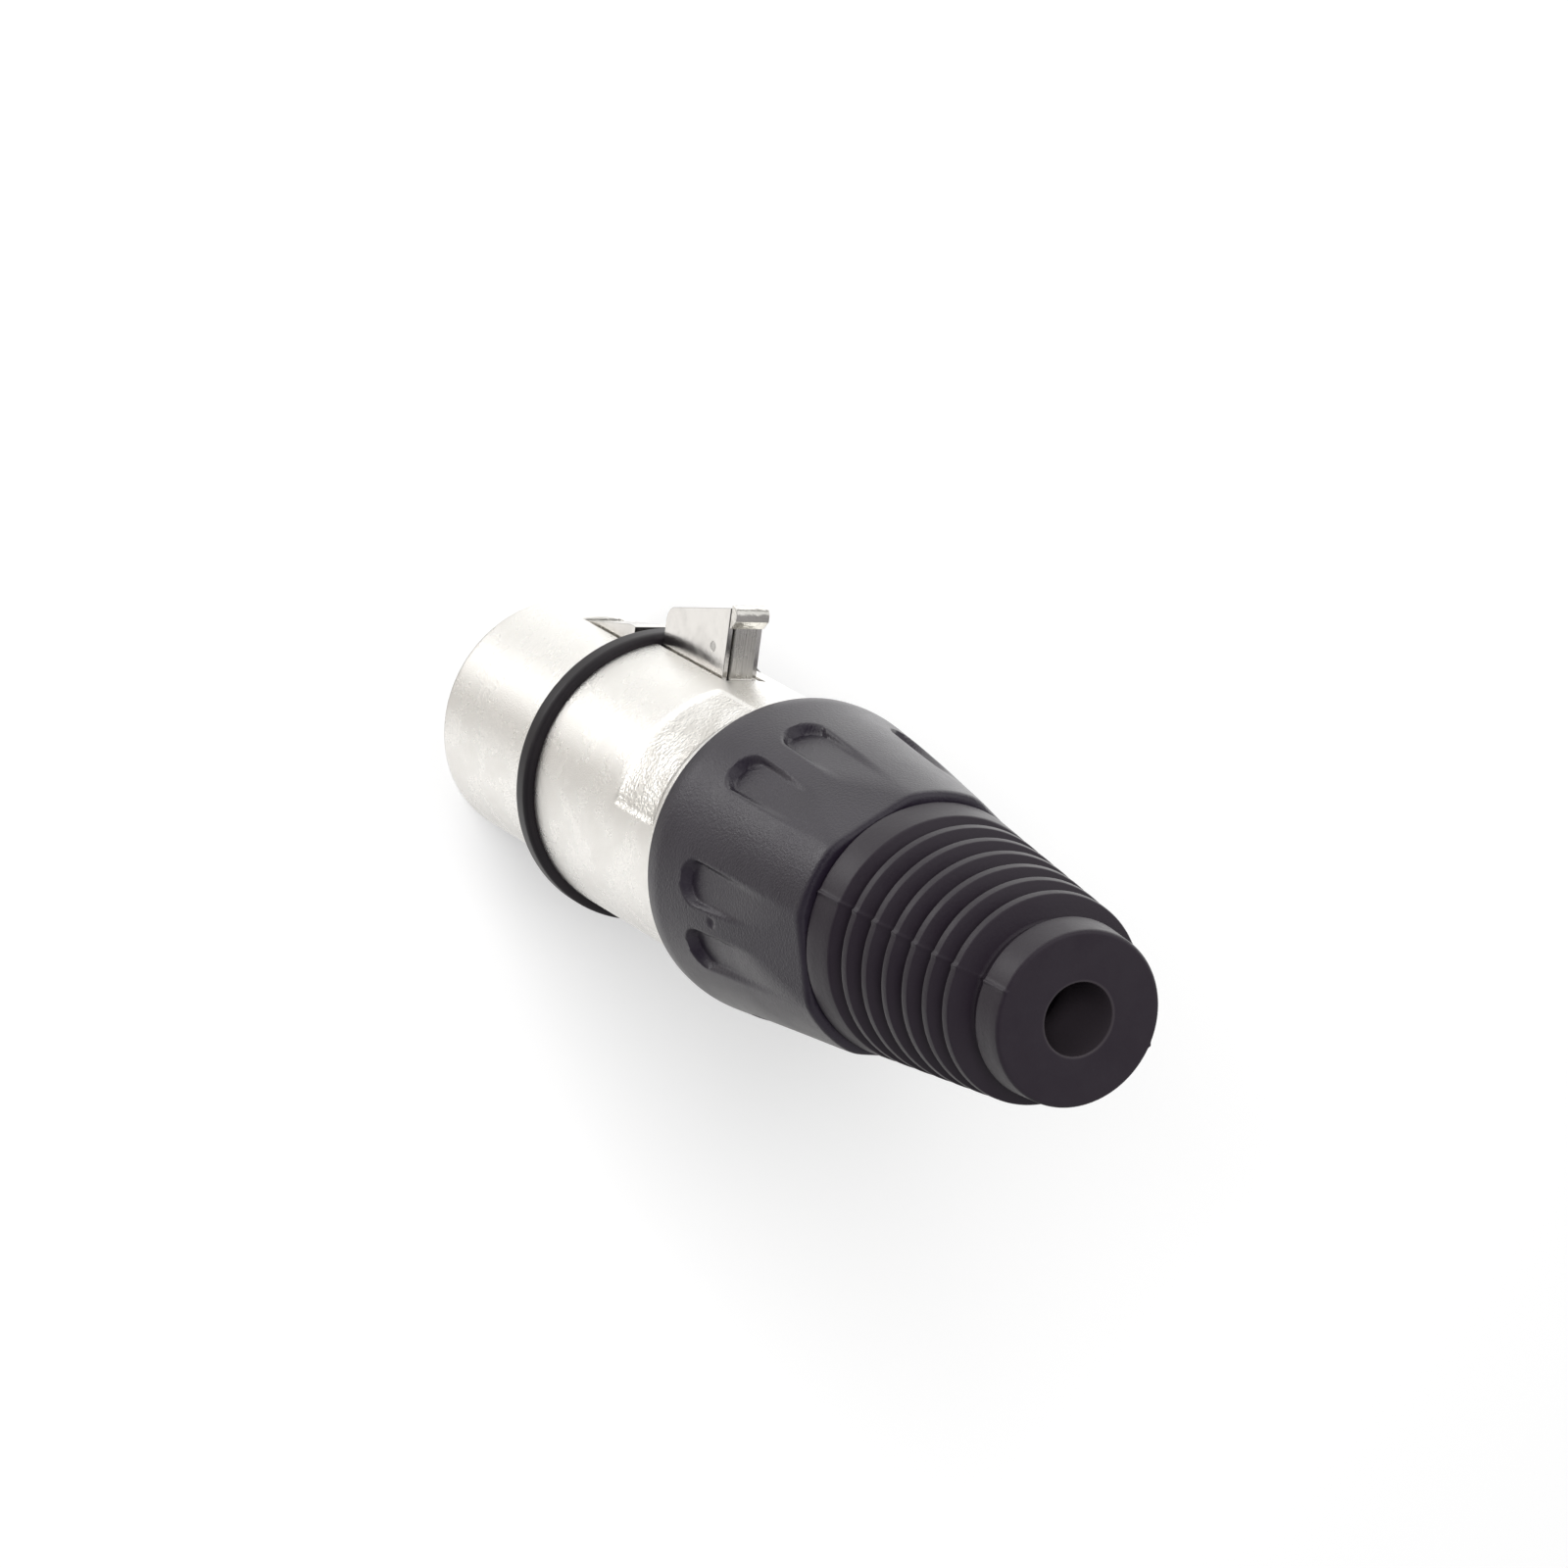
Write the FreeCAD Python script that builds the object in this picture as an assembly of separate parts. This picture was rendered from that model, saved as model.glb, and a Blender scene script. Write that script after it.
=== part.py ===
import FreeCAD, Part
import math
import os

# Female cable connector with three contacts and a push latch.
# Millimetres. The axis is +Z, from the nose face at the origin to the cable end.
# The latch is on the +X side. The connector stands on its nose.

# Nose, the tube that plugs into the mating shell
nose_radius = 7.95
nose_length = 13.8
nose_wall = 0.95
nose_lip_depth = 0.5
nose_lip_width = 0.3
nose_edge_bevel = 0.3

# Body and rear neck of the cast shell
body_step = 0.98
body_length = 17.3
body_edge_bevel = 0.25
neck_wall = 0.75
neck_length = 8.0
neck_edge_bevel = 0.2

# Sunk plain field on the side of the body
field_start_angle = 17.0
field_angle = 64.0
field_depth = 0.18
field_length = 4.5
field_rear_margin = 2.0

# Marking ring between nose and body
ring_thickness = 1.42
ring_width = 1.5
ring_clearance = 0.04
ring_front_bevel = 0.25
ring_rear_bevel = 0.35

# Insulating insert
insert_clearance = 0.04
insert_into_body = 6.2
insert_leg_wall = 0.5
insert_leg_angle = 26.0
insert_leg_azimuths = (92.0, 155.0, 205.0, 268.0)

# Contacts
contact_azimuths = (70.0, -70.0, 180.0)
contact_rim_wall = 0.31
contact_bore_radius = 1.22
contact_bore_length = 11.7
contact_wall = 0.33
contact_flange_step = 0.3
contact_flange_length = 1.0
contact_flange_depth = 16.5
contact_stem_step = 0.25
contact_stem_length = 3.4
contact_slit = 0.35
contact_slit_length = 7.0
contact_slit_angle = 45.0
contact_clearance = 0.05
entry_clearance = 0.13
entry_depth = 0.8
cup_bore_radius = 1.15
cup_wall = 0.45
cup_length = 5.0
cup_floor = 1.0
cup_rim_length = 0.8

# Earthing clip between insert and shell
clip_azimuth = 125.0
clip_width = 2.2
clip_thickness = 0.25
clip_length = 13.0
clip_tail_length = 4.2
clip_tail_width = 1.1
clip_bump_start = 6.5
clip_bump_length = 2.0
clip_clearance = 0.04
clip_shell_gap = 0.01

# Latch slot through nose and body
slot_width = 2.8
slot_start = 4.7
slot_end_gap = 0.25

# Latch pivot
pivot_depth = 1.25
pivot_height = 3.2
pivot_pin_radius = 0.5
pivot_pin_length = 5.0
pivot_clearance = 0.05
pivot_boss_wall = 0.35
pivot_boss_round = 0.8

# Latch lever, a folded channel with a tooth and two side cheeks
lever_side_clearance = 0.2
lever_cheek = 0.35
lever_arm_sink = 0.2
lever_arm_thickness = 1.15
lever_heel_round = 0.4
tooth_front_gap = 0.4
tooth_length = 6.55
tooth_height = 1.05
tooth_crest_length = 0.7
tooth_crest_round = 0.3
thumb_front_gap = 0.25
thumb_length = 8.15
thumb_front_rise = 2.36
thumb_rear_rise = 4.37
thumb_nose_round = 1.1
channel_front_wall = 0.9
channel_floor_height = 0.25
heel_sink = 0.2
heel_length = 0.5

# Push button in the channel
button_clearance = 0.05
button_back_step = 0.22
button_lip_length = 0.75
button_lip_rise = 0.2
button_lip_height = 0.85
button_lip_depth = 1.5
button_lip_round = 0.35
button_pin_radius = 0.32
button_pin_from_rear = 1.7
button_pin_rise = 1.47

# Latch groove and spring in the insert
groove_front_gap = 0.6
groove_floor_gap = 0.55
groove_step_height = 10.0
groove_step_depth = 0.6
spring_height = 17.5
spring_radius = 0.85
spring_wire = 0.3
spring_turns = 4.0
spring_wire_flats = 6
spring_pocket_depth = 0.6
spring_pocket_clearance = 0.2
spring_end_clearance = 0.02

# Cable clamp
clamp_clearance = 0.25
clamp_inset = 4.8
clamp_front_wall = 1.55
clamp_front_bore_length = 8.0
clamp_throat_length = 2.0
clamp_bore_radius = 3.25
clamp_length = 18.7
clamp_jaw_length = 5.5
clamp_jaw_step = 0.55
clamp_slits = 4
clamp_slit_width = 1.0
clamp_slit_length = 12.5
clamp_teeth = 5
clamp_tooth_depth = 0.25
clamp_tooth_pitch = 1.6

# Screw collar
collar_gap = 0.25
collar_wall = 2.09
collar_crown_offset = 1.25
collar_crown_bevel = 0.7
collar_front_step = 0.14
collar_front_bevel = 0.35
collar_rear_wall = 1.7
collar_rear_bevel = 0.3
collar_thread_clearance = 0.3
collar_thread_run_out = 0.6
collar_jaw_clearance = 0.3
collar_jaw_end_gap = 0.4
collar_end_wall = 1.7
collar_cavity_length = 1.4
collar_groups = 5
collar_group_azimuth = 33.0
facet_start_from_rear = 10.0
facet_rear_depth = 0.5
flute_front = 4.35
flute_depth = 0.65
flute_floor_slope = 0.035
flute_half_width = 1.4
flute_spread = 13.25

# Rubber boot
boot_clearance = 0.3
boot_neck_step = 0.4
boot_flange_step = 0.4
boot_flange_side_gap = 0.15
boot_front_gap = 0.2
boot_band_step = 0.5
boot_band_length = 2.5
boot_taper = 0.104
boot_rib_count = 6
boot_rib_pitch = 2.11
boot_first_rib = 3.85
boot_rib_width = 0.7
boot_rib_foot = 0.3
boot_rib_depth = 1.0
boot_edge_bevel = 0.15
boot_tail_length = 2.55
boot_tail_step = 0.72
boot_tail_groove_depth = 0.65
boot_tail_draft = 0.17
boot_tail_bevel = 0.25
boot_length = 19.2
boot_wall = 1.0
boot_funnel_length = 9.5
boot_waist_radius = 3.3
boot_exit_taper = 3.4
boot_exit_radius = 2.28
boot_exit_length = 6.0

# Radii that follow from the sizes above
nose_bore_radius = nose_radius - nose_wall
body_radius = nose_radius + body_step
neck_radius = nose_bore_radius + neck_wall
ring_radius = nose_radius + ring_clearance + ring_thickness
insert_radius = nose_bore_radius - insert_clearance
contact_radius = contact_bore_radius + contact_wall
contact_flange_radius = contact_radius + contact_flange_step
contact_seat_radius = contact_flange_radius + contact_clearance
contact_circle_radius = insert_radius - contact_rim_wall - contact_seat_radius
clamp_radius = nose_bore_radius - clamp_clearance
clamp_front_bore_radius = clamp_radius - clamp_front_wall
clamp_jaw_end_radius = clamp_radius - clamp_jaw_step
boot_neck_radius = clamp_jaw_end_radius + boot_neck_step
boot_flange_radius = boot_neck_radius + boot_flange_step
collar_thread_radius = neck_radius + collar_thread_clearance
collar_crown_radius = collar_thread_radius + collar_wall
collar_hole_radius = boot_neck_radius + boot_clearance
collar_rear_radius = collar_hole_radius + collar_rear_wall
boot_band_radius = collar_rear_radius - boot_band_step

# Places along the axis that follow from the sizes above
body_start = nose_length + ring_width
body_end = body_start + body_length
neck_end = body_end + neck_length
insert_start = nose_lip_depth
insert_end = body_start + insert_into_body
contact_start = insert_start + entry_depth
flange_start = insert_start + contact_flange_depth
clamp_start = body_end - clamp_inset
clamp_end = clamp_start + clamp_length
jaw_start = clamp_end - clamp_jaw_length
collar_start = body_end + collar_gap
collar_cavity_start = clamp_end + collar_jaw_end_gap
collar_wall_start = collar_cavity_start + collar_cavity_length
collar_end = collar_wall_start + collar_end_wall
collar_crown = collar_start + collar_crown_offset
boot_band_start = collar_end + boot_front_gap
boot_end = boot_band_start + boot_length
boot_tail_start = boot_end - boot_tail_length

# Latch sizes and places that follow from the sizes above
lever_width = slot_width - 2 * lever_side_clearance
lever_arm_top = nose_radius - lever_arm_sink
lever_arm_bottom = lever_arm_top - lever_arm_thickness
tooth_front = slot_start + tooth_front_gap
tooth_back = tooth_front + tooth_length
tooth_top = nose_radius + tooth_height
thumb_front = body_start + thumb_front_gap
thumb_rear = thumb_front + thumb_length
thumb_front_top = body_radius + thumb_front_rise
thumb_rear_top = body_radius + thumb_rear_rise
channel_floor = lever_arm_top + channel_floor_height
heel_top = body_radius - heel_sink
heel_end = thumb_rear + heel_length
button_lip_end = thumb_rear + button_clearance + button_lip_length
button_pin_height = thumb_rear - button_pin_from_rear
button_pin_offset = body_radius + button_pin_rise
slot_end = button_lip_end + slot_end_gap
pivot_offset = nose_bore_radius - pivot_depth
pivot_boss_radius = pivot_pin_radius + pivot_clearance + pivot_boss_wall
groove_front = pivot_height - pivot_boss_radius - groove_front_gap
groove_floor = pivot_offset - pivot_boss_radius - groove_floor_gap
groove_deep_floor = groove_floor - groove_step_depth

# Cutting shapes reach well past the widest piece, and a little past the face that they leave
far = 3 * ring_radius
cut_margin = 1.0

AXIS = FreeCAD.Vector(0, 0, 1)
ORIGIN = FreeCAD.Vector(0, 0, 0)


def at(x, z, y=0.0):
    """A point given by its distance from the axis, its height and its side offset."""
    return FreeCAD.Vector(x, y, z)


def bevelled(corners):
    """Corners in which each (x, z, bevel) is replaced by the two ends of a flat bevel."""
    result = []
    for i, corner in enumerate(corners):
        if len(corner) < 3:
            result.append(corner)
            continue
        point = at(corner[0], corner[1])
        before = corners[i - 1]
        after = corners[(i + 1) % len(corners)]
        for neighbour in (before, after):
            way = at(neighbour[0], neighbour[1]) - point
            way.normalize()
            end = point + way * corner[2]
            result.append((end.x, end.z))
    return result


def outline(corners):
    """A closed wire in the XZ plane. A corner is (x, z) or (x, z, rounding radius)."""
    count = len(corners)
    points = [at(c[0], c[1]) for c in corners]
    starts = []
    ends = []
    middles = []
    for i, corner in enumerate(corners):
        point = points[i]
        radius = corner[2] if len(corner) > 2 else 0.0
        back = points[i - 1] - point
        ahead = points[(i + 1) % count] - point
        half = back.getAngle(ahead) / 2
        if radius <= 0:
            starts.append(point)
            ends.append(point)
            middles.append(None)
            continue
        back.normalize()
        ahead.normalize()
        inward = back + ahead
        inward.normalize()
        reach = radius / math.tan(half)
        starts.append(point + back * reach)
        ends.append(point + ahead * reach)
        middles.append(point + inward * (radius / math.sin(half) - radius))
    edges = []
    for i in range(count):
        if middles[i] is not None:
            edges.append(Part.Arc(starts[i], middles[i], ends[i]).toShape())
        edges.append(Part.LineSegment(ends[i], starts[(i + 1) % count]).toShape())
    return Part.Wire(edges)


def turned(corners, angle=360.0):
    """A solid of revolution about the connector's axis."""
    return Part.Face(outline(corners)).revolve(ORIGIN, AXIS, angle)


def plate(corners, width):
    """A flat plate whose outline lies in the XZ plane, centred on the latch plane."""
    face = Part.Face(outline(corners))
    face.translate(FreeCAD.Vector(0, -width / 2, 0))
    return face.extrude(FreeCAD.Vector(0, width, 0))


def rod(radius, start, length, x=0.0, y=0.0):
    """A cylinder along the axis."""
    return Part.makeCylinder(radius, length, at(x, start, y), AXIS)


def cross_rod(radius, x, z, length):
    """A cylinder across the latch plane."""
    start = at(x, z, -length / 2)
    return Part.makeCylinder(radius, length, start, FreeCAD.Vector(0, 1, 0))


def block(x_from, x_to, width, z_from, z_to):
    """A box centred on the latch plane."""
    corner = at(x_from, z_from, -width / 2)
    return Part.makeBox(x_to - x_from, width, z_to - z_from, corner)


def turned_to(shape, azimuth):
    """A copy of a shape turned about the axis."""
    copy = shape.copy()
    copy.rotate(ORIGIN, AXIS, azimuth)
    return copy


def polar(radius, azimuth):
    """X and Y of a point at a radius and an azimuth."""
    angle = math.radians(azimuth)
    return radius * math.cos(angle), radius * math.sin(angle)


def make_shell():
    """Cast and plated shell: nose, body with a latch slot and a plain field, threaded neck."""
    lip_radius = nose_bore_radius - nose_lip_width
    shell = turned(bevelled([
        (lip_radius, 0),
        (nose_radius, 0, nose_edge_bevel),
        (nose_radius, body_start),
        (body_radius, body_start, body_edge_bevel),
        (body_radius, body_end, body_edge_bevel),
        (neck_radius, body_end),
        (neck_radius, neck_end, neck_edge_bevel),
        (nose_bore_radius, neck_end),
        (nose_bore_radius, nose_lip_depth),
        (lip_radius, nose_lip_depth),
    ]))
    slot = block(lip_radius - slot_width, far, slot_width, slot_start, slot_end)
    field_end = body_end - field_rear_margin
    field = turned([
        (body_radius - field_depth, field_end - field_length),
        (far, field_end - field_length),
        (far, field_end),
        (body_radius - field_depth, field_end),
    ], field_angle)
    return shell.cut([slot, turned_to(field, field_start_angle)])


def make_marking_ring():
    """Ring that slides over the nose and rests on the shoulder of the body."""
    inner = nose_radius + ring_clearance
    return turned(bevelled([
        (inner, nose_length),
        (ring_radius, nose_length, ring_front_bevel),
        (ring_radius, body_start, ring_rear_bevel),
        (inner, body_start),
    ]))


def contact_hole(azimuth):
    """Stepped hole of one contact in the insert."""
    x, y = polar(contact_circle_radius, azimuth)
    entry = rod(contact_bore_radius + entry_clearance, insert_start, entry_depth, x, y)
    barrel_length = flange_start - contact_start
    barrel = rod(contact_radius + contact_clearance, contact_start, barrel_length, x, y)
    seat = rod(contact_seat_radius, flange_start, insert_end - flange_start, x, y)
    return entry.fuse([barrel, seat])


def insert_leg(azimuth):
    """One rear leg, which the cable clamp pushes on."""
    leg = turned([
        (insert_radius - insert_leg_wall, insert_end),
        (insert_radius, insert_end),
        (insert_radius, clamp_start),
        (insert_radius - insert_leg_wall, clamp_start),
    ], insert_leg_angle)
    return turned_to(leg, azimuth - insert_leg_angle / 2)


def make_insert():
    """Moulded carrier: three contact holes, latch groove, spring pocket, clip groove, legs."""
    insert = rod(insert_radius, insert_start, insert_end - insert_start)
    insert = insert.fuse([insert_leg(a) for a in insert_leg_azimuths])
    groove = block(groove_floor, far, slot_width, groove_front, groove_step_height)
    deep_groove = block(groove_deep_floor, far, slot_width, groove_step_height, clamp_start)
    pin_hole = cross_rod(pivot_pin_radius, pivot_offset, pivot_height, pivot_pin_length)
    pocket_radius = spring_radius + spring_wire / 2 + spring_pocket_clearance
    pocket_floor = groove_deep_floor - spring_pocket_depth
    pocket = Part.makeCylinder(
        pocket_radius, spring_pocket_depth + cut_margin, at(pocket_floor, spring_height),
        FreeCAD.Vector(1, 0, 0))
    clip_groove = block(
        insert_radius - clip_thickness - clip_clearance, far, clip_width + 2 * clip_clearance,
        insert_end - clip_length - clip_clearance, insert_end)
    cutters = [contact_hole(a) for a in contact_azimuths]
    cutters += [groove, deep_groove, pin_hole, pocket, turned_to(clip_groove, clip_azimuth)]
    return insert.cut(cutters)


def make_contact(azimuth):
    """Turned socket: split tines, seating flange, stem and open solder cup."""
    bore_end = contact_start + contact_bore_length
    stem_start = flange_start + contact_flange_length
    cup_start = stem_start + contact_stem_length
    cup_end = cup_start + cup_length
    stem_radius = contact_radius - contact_stem_step
    cup_radius = cup_bore_radius + cup_wall
    contact = turned([
        (0, bore_end),
        (contact_bore_radius, bore_end),
        (contact_bore_radius, contact_start),
        (contact_radius, contact_start),
        (contact_radius, flange_start),
        (contact_flange_radius, flange_start),
        (contact_flange_radius, stem_start),
        (stem_radius, stem_start),
        (stem_radius, cup_start),
        (cup_radius, cup_start),
        (cup_radius, cup_end),
        (cup_bore_radius, cup_end),
        (cup_bore_radius, cup_start + cup_floor),
        (0, cup_start + cup_floor),
    ])
    slit_end = contact_start + contact_slit_length
    slit = block(-far, far, contact_slit, contact_start, slit_end)
    cup_mouth = block(-far, 0, far, cup_start + cup_floor + cup_rim_length, cup_end)
    slits = [turned_to(slit, contact_slit_angle + turn) for turn in (0, 90)]
    contact = contact.cut(slits + [cup_mouth])
    contact.translate(at(contact_circle_radius, 0))
    return turned_to(contact, azimuth)


def make_earthing_clip():
    """Sprung strip that joins the shell to a solder tail behind the insert."""
    inner = insert_radius - clip_thickness
    clip_start = insert_end - clip_length
    bump_start = clip_start + clip_bump_start
    bump_end = bump_start + clip_bump_length
    strip = block(inner, far, clip_width, clip_start, insert_end)
    strip = strip.common(rod(insert_radius, clip_start, clip_length))
    bump = block(inner, far, clip_tail_width, bump_start, bump_end)
    bump = bump.common(rod(nose_bore_radius - clip_shell_gap, clip_start, clip_length))
    tail = block(inner, insert_radius, clip_tail_width, insert_end, insert_end + clip_tail_length)
    tail = tail.common(rod(insert_radius, insert_end, clip_tail_length))
    return turned_to(strip.fuse([bump, tail]), clip_azimuth)


def make_latch_pin():
    """Pivot pin of the latch, across the front of the insert."""
    return cross_rod(pivot_pin_radius, pivot_offset, pivot_height, pivot_pin_length)


def thumb_top(z):
    """Height of the thumb ramp at a place along the axis."""
    share = (z - thumb_front) / (thumb_rear - thumb_front)
    return thumb_front_top + share * (thumb_rear_top - thumb_front_top)


def make_latch_lever():
    """Folded lever: pivot boss, arm with the tooth, channel for the button, low heel."""
    boss_top = pivot_offset + pivot_boss_radius
    boss_bottom = pivot_offset - pivot_boss_radius
    boss_front = pivot_height - pivot_boss_radius
    lever = plate([
        (boss_bottom, boss_front, pivot_boss_round),
        (boss_top, boss_front, pivot_boss_round),
        (boss_top, tooth_front),
        (lever_arm_top, tooth_front),
        (tooth_top, tooth_back - tooth_crest_length, tooth_crest_round),
        (tooth_top, tooth_back),
        (lever_arm_top, tooth_back),
        (lever_arm_top, thumb_front),
        (thumb_front_top, thumb_front, thumb_nose_round),
        (thumb_rear_top, thumb_rear),
        (heel_top, thumb_rear),
        (heel_top, heel_end),
        (lever_arm_top, heel_end),
        (lever_arm_top, thumb_rear),
        (lever_arm_bottom, thumb_rear, lever_heel_round),
        (lever_arm_bottom, groove_step_height),
        (boss_bottom, tooth_front),
    ], lever_width)
    channel_width = lever_width - 2 * lever_cheek
    channel = block(channel_floor, far, channel_width, thumb_front + channel_front_wall, far)
    pivot_hole = cross_rod(
        pivot_pin_radius + pivot_clearance, pivot_offset, pivot_height, pivot_pin_length)
    pin_hole = cross_rod(button_pin_radius, button_pin_offset, button_pin_height, lever_width)
    return lever.cut([channel, pivot_hole, pin_hole])


def make_latch_button():
    """Push button that fills the channel, with a low heel and an overhanging lip."""
    front = thumb_front + channel_front_wall + button_clearance
    back = thumb_rear + button_back_step
    width = lever_width - 2 * lever_cheek - 2 * button_clearance
    body = plate([
        (channel_floor, front),
        (thumb_top(front), front),
        (thumb_top(back), back),
        (heel_top, back),
        (heel_top, heel_end),
        (channel_floor, heel_end),
    ], width)
    lip_front = thumb_rear + button_clearance
    lip_top = thumb_top(lip_front) + button_lip_rise
    lip = plate([
        (lip_top, lip_front),
        (lip_top, button_lip_end, button_lip_round),
        (lip_top - button_lip_height, button_lip_end),
        (lip_top - button_lip_depth, back),
        (lip_top - button_lip_depth, lip_front),
    ], lever_width)
    pin_hole = cross_rod(button_pin_radius, button_pin_offset, button_pin_height, lever_width)
    return body.fuse(lip).removeSplitter().cut(pin_hole)


def make_button_pin():
    """Cross pin that fixes the button between the cheeks of the lever."""
    return cross_rod(button_pin_radius, button_pin_offset, button_pin_height, lever_width)


def make_latch_spring():
    """Compression spring between the pocket of the insert and the lever."""
    bottom = groove_deep_floor - spring_pocket_depth + spring_end_clearance + spring_wire / 2
    top = lever_arm_bottom - spring_end_clearance - spring_wire / 2
    height = top - bottom
    path = Part.makeHelix(height / spring_turns, height, spring_radius)
    section = []
    for i in range(spring_wire_flats + 1):
        x, z = polar(spring_wire / 2, i * 360.0 / spring_wire_flats)
        section.append(at(spring_radius + x, z))
    coil = Part.Wire(path.Edges).makePipeShell([Part.makePolygon(section)], True, True)
    coil.rotate(ORIGIN, FreeCAD.Vector(0, 1, 0), 90)
    coil.translate(at(bottom, spring_height))
    return coil


def make_cable_clamp():
    """Slit sleeve whose jaws close on the cable, with grip ridges in its bore."""
    throat_start = clamp_start + clamp_front_bore_length
    throat_end = throat_start + clamp_throat_length
    corners = [
        (clamp_front_bore_radius, clamp_start),
        (clamp_radius, clamp_start),
        (clamp_radius, jaw_start),
        (clamp_jaw_end_radius, clamp_end),
        (clamp_bore_radius, clamp_end),
    ]
    for i in range(clamp_teeth):
        crest = clamp_end - (i + 1) * clamp_tooth_pitch
        corners.append((clamp_bore_radius + clamp_tooth_depth, crest + clamp_tooth_pitch / 2))
        corners.append((clamp_bore_radius, crest))
    corners.append((clamp_bore_radius, throat_end))
    corners.append((clamp_front_bore_radius, throat_start))
    clamp = turned(corners)
    slit = block(0, far, clamp_slit_width, clamp_end - clamp_slit_length, clamp_end)
    step = 360.0 / clamp_slits
    return clamp.cut([turned_to(slit, (i + 0.5) * step) for i in range(clamp_slits)])


def collar_radius(z):
    """Outer radius of the collar's cone, before facets and flutes."""
    share = (z - collar_crown) / (collar_end - collar_crown)
    return collar_crown_radius + share * (collar_rear_radius - collar_crown_radius)


def facet_cutter():
    """Wedge that planes one side of the collar towards its rear end."""
    start = collar_end - facet_start_from_rear
    start_radius = collar_radius(start)
    rear_radius = collar_rear_radius - facet_rear_depth
    slope = (start_radius - rear_radius) / facet_start_from_rear
    return plate([
        (start_radius + slope * cut_margin, start - cut_margin),
        (far, start - cut_margin),
        (far, collar_end + cut_margin),
        (rear_radius - slope * cut_margin, collar_end + cut_margin),
    ], far)


def flute_cutter():
    """Finger flute: a slot with a round front and a flat floor that runs out to the rear."""
    front = collar_start + flute_front
    floor = collar_radius(front) - flute_depth
    centre = front + flute_half_width
    end = collar_end + cut_margin
    slot = block(0, far, 2 * flute_half_width, centre, end)
    nose = Part.makeCylinder(flute_half_width, far, at(0, centre), FreeCAD.Vector(1, 0, 0))
    above = plate([
        (floor, front),
        (far, front),
        (far, end),
        (floor - flute_floor_slope * (end - front), end),
    ], far)
    return slot.fuse(nose).common(above)


def make_collar():
    """Screw collar: round rim, five planed sides, each with two finger flutes."""
    thread_end = neck_end + collar_thread_run_out
    jaw_radius = clamp_radius + collar_jaw_clearance
    jaw_end_radius = clamp_jaw_end_radius + collar_jaw_clearance
    collar = turned(bevelled([
        (collar_thread_radius, collar_start),
        (collar_crown_radius - collar_front_step, collar_start, collar_front_bevel),
        (collar_crown_radius, collar_crown, collar_crown_bevel),
        (collar_rear_radius, collar_end, collar_rear_bevel),
        (collar_hole_radius, collar_end),
        (collar_hole_radius, collar_wall_start),
        (boot_flange_radius + boot_clearance, collar_wall_start),
        (boot_flange_radius + boot_clearance, collar_cavity_start),
        (jaw_end_radius, collar_cavity_start),
        (jaw_end_radius, clamp_end),
        (jaw_radius, jaw_start),
        (jaw_radius, thread_end),
        (collar_thread_radius, thread_end),
    ]))
    cutters = []
    for i in range(collar_groups):
        azimuth = collar_group_azimuth + i * 360.0 / collar_groups
        cutters.append(turned_to(facet_cutter(), azimuth))
        cutters.append(turned_to(flute_cutter(), azimuth - flute_spread))
        cutters.append(turned_to(flute_cutter(), azimuth + flute_spread))
    return collar.cut(cutters)


def boot_radius(z):
    """Outer radius of the boot's band and ribs."""
    return boot_band_radius - boot_taper * (z - boot_band_start)


def make_boot():
    """Rubber boot: flange held in the collar, plain band, ribs and a smooth tail."""
    flange_front = collar_cavity_start + boot_flange_side_gap
    flange_back = collar_wall_start - boot_flange_side_gap
    band_end = boot_band_start + boot_band_length
    exit_start = boot_end - boot_exit_length
    tail_front_radius = boot_radius(boot_tail_start) - boot_tail_step
    last_floor = tail_front_radius - boot_tail_groove_depth
    corners = [
        (boot_neck_radius - boot_wall, flange_front),
        (boot_flange_radius, flange_front),
        (boot_flange_radius, flange_back),
        (boot_neck_radius, flange_back),
        (boot_neck_radius, boot_band_start),
        (boot_band_radius, boot_band_start, boot_edge_bevel),
        (boot_radius(band_end), band_end, boot_edge_bevel),
        (boot_radius(band_end) - boot_rib_depth, band_end + boot_rib_foot),
    ]
    for i in range(boot_rib_count):
        front = boot_band_start + boot_first_rib + i * boot_rib_pitch
        back = front + boot_rib_width
        foot = back + boot_rib_foot
        last = i == boot_rib_count - 1
        floor = last_floor if last else boot_radius(foot) - boot_rib_depth
        corners.append((boot_radius(front) - boot_rib_depth, front))
        corners.append((boot_radius(front), front))
        corners.append((boot_radius(back), back))
        corners.append((floor, foot))
    corners += [
        (last_floor, boot_tail_start),
        (tail_front_radius, boot_tail_start, boot_edge_bevel),
        (tail_front_radius - boot_tail_draft, boot_end, boot_tail_bevel),
        (boot_exit_radius, boot_end),
        (boot_exit_radius, exit_start),
        (boot_waist_radius, exit_start - boot_exit_taper),
        (boot_waist_radius, flange_front + boot_funnel_length),
    ]
    return turned(bevelled(corners))


def save(name, shape):
    """Write one piece as its own file."""
    shape.exportStep("parts/" + name + ".step")


os.makedirs("parts", exist_ok=True)
save("shell", make_shell())
save("marking_ring", make_marking_ring())
save("contact_insert", make_insert())
for number, place in enumerate(contact_azimuths, start=1):
    save("contact_" + str(number), make_contact(place))
save("earthing_clip", make_earthing_clip())
save("latch_pin", make_latch_pin())
save("latch_lever", make_latch_lever())
save("latch_button", make_latch_button())
save("button_pin", make_button_pin())
save("latch_spring", make_latch_spring())
save("cable_clamp", make_cable_clamp())
save("screw_collar", make_collar())
save("boot", make_boot())
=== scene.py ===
import math

import bmesh
import bpy
import numpy as np
from mathutils import Matrix, Vector


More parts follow.
